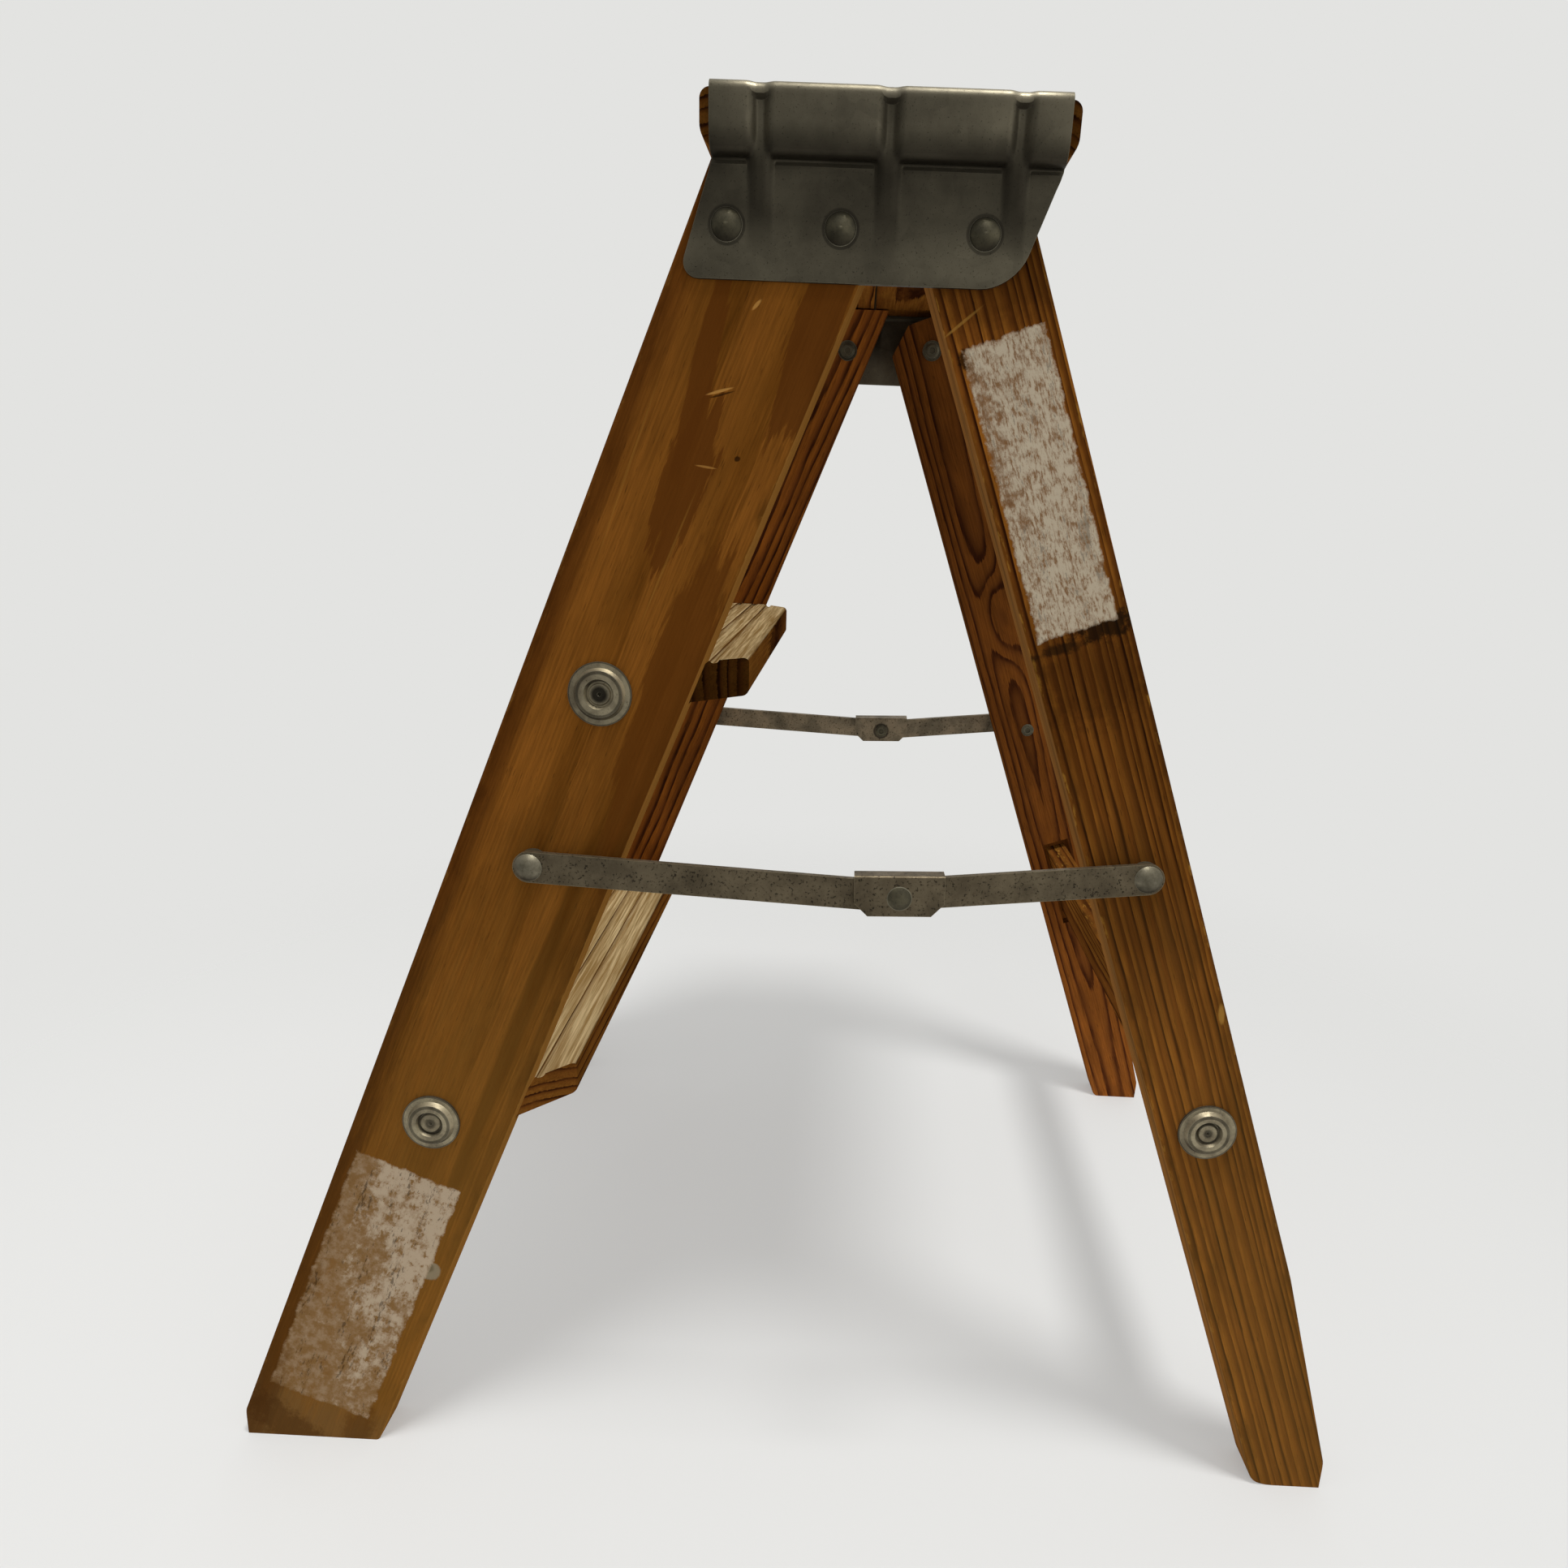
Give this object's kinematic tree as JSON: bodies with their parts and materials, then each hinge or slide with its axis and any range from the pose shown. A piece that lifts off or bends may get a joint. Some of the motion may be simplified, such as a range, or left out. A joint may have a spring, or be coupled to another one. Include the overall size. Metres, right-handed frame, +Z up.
{
  "type": "folding step stool",
  "caption": "Folding wooden step stool: leaning front rails with housed fluted steps, hinged rear legs, pressed steel top brackets and folding steel stays.",
  "frame": {"origin": "middle of the open stool's footprint on the floor", "axes": "+X across the stool, -Y towards the step side, +Z up"},
  "size_m": [0.3442, 0.5112, 0.567],
  "materials": {
    "rail_pine": "worn varnish",
    "leg_pine": "worn varnish",
    "step_pine": "worn varnish",
    "top_pine": "worn varnish",
    "galvanised_sheet": "dull galvanised",
    "rivet_steel": "dull galvanised",
    "rod_steel": "dull galvanised"
  },
  "bodies": {
    "front_frame": {"top_board_front": "top_pine", "top_board_rear": "top_pine", "front_rail_right": "rail_pine", "front_rail_left": "rail_pine", "upper_step": "step_pine", "lower_step": "step_pine", "top_bracket_right": "galvanised_sheet", "top_bracket_left": "galvanised_sheet", "top_nails": "rivet_steel", "bracket_rivets": "rivet_steel", "bracket_rivet_burrs": "rivet_steel", "leg_pivot_rivets": "rivet_steel", "leg_pivot_burrs": "rivet_steel", "leg_pivot_spacers": "rivet_steel", "stay_front_rivets": "rivet_steel", "stay_front_spacers": "rivet_steel", "upper_step_rod": "rod_steel", "lower_step_rod": "rod_steel", "step_rod_washers": "rod_steel"},
    "rear_frame": {"rear_leg_right": "leg_pine", "rear_leg_left": "leg_pine", "rear_bar": "leg_pine", "rear_rod": "rod_steel", "rear_rod_washers": "rod_steel", "stay_rear_posts": "rivet_steel"},
    "front_stay_right": {"front_link_right": "galvanised_sheet", "knuckle_saddle_right": "galvanised_sheet", "knuckle_rivet_right": "rivet_steel"},
    "rear_stay_right": {"rear_link_right": "galvanised_sheet", "stay_rear_rivet_right": "rivet_steel"},
    "front_stay_left": {"front_link_left": "galvanised_sheet", "knuckle_saddle_left": "galvanised_sheet", "knuckle_rivet_left": "rivet_steel"},
    "rear_stay_left": {"rear_link_left": "galvanised_sheet", "stay_rear_rivet_left": "rivet_steel"}
  },
  "joints": [
    {"name": "rear_legs_fold", "type": "hinge", "parent": "front_frame", "child": "rear_frame", "pos_m": [0, 0.05539, 0.5255], "axis": [-1, 0, 0], "range_deg": [0, 41]},
    {"name": "front_stay_turn_right", "type": "hinge", "parent": "front_frame", "child": "front_stay_right", "pos_m": [0.15216, -0.10927, 0.2912], "axis": [0.9977, 0, 0.0684], "range_deg": [0, 46]},
    {"name": "knuckle_turn_right", "type": "hinge", "parent": "front_stay_right", "child": "rear_stay_right", "pos_m": [0.15252, 0.03936, 0.2859], "axis": [0.9977, 0, 0.0684], "range_deg": [-160.5, 0]},
    {"name": "front_stay_turn_left", "type": "hinge", "parent": "front_frame", "child": "front_stay_left", "pos_m": [-0.15216, -0.10927, 0.2912], "axis": [0.9977, 0, -0.0684], "range_deg": [0, 46]},
    {"name": "knuckle_turn_left", "type": "hinge", "parent": "front_stay_left", "child": "rear_stay_left", "pos_m": [-0.15252, 0.03936, 0.2859], "axis": [0.9977, 0, -0.0684], "range_deg": [-160.5, 0]}
  ],
  "couplings": [
    {"joint": "front_stay_turn_right", "follows": "rear_legs_fold", "ratio": 1.1098},
    {"joint": "knuckle_turn_right", "follows": "rear_legs_fold", "ratio": -3.9029},
    {"joint": "front_stay_turn_left", "follows": "rear_legs_fold", "ratio": 1.1098},
    {"joint": "knuckle_turn_left", "follows": "rear_legs_fold", "ratio": -3.9029}
  ]
}
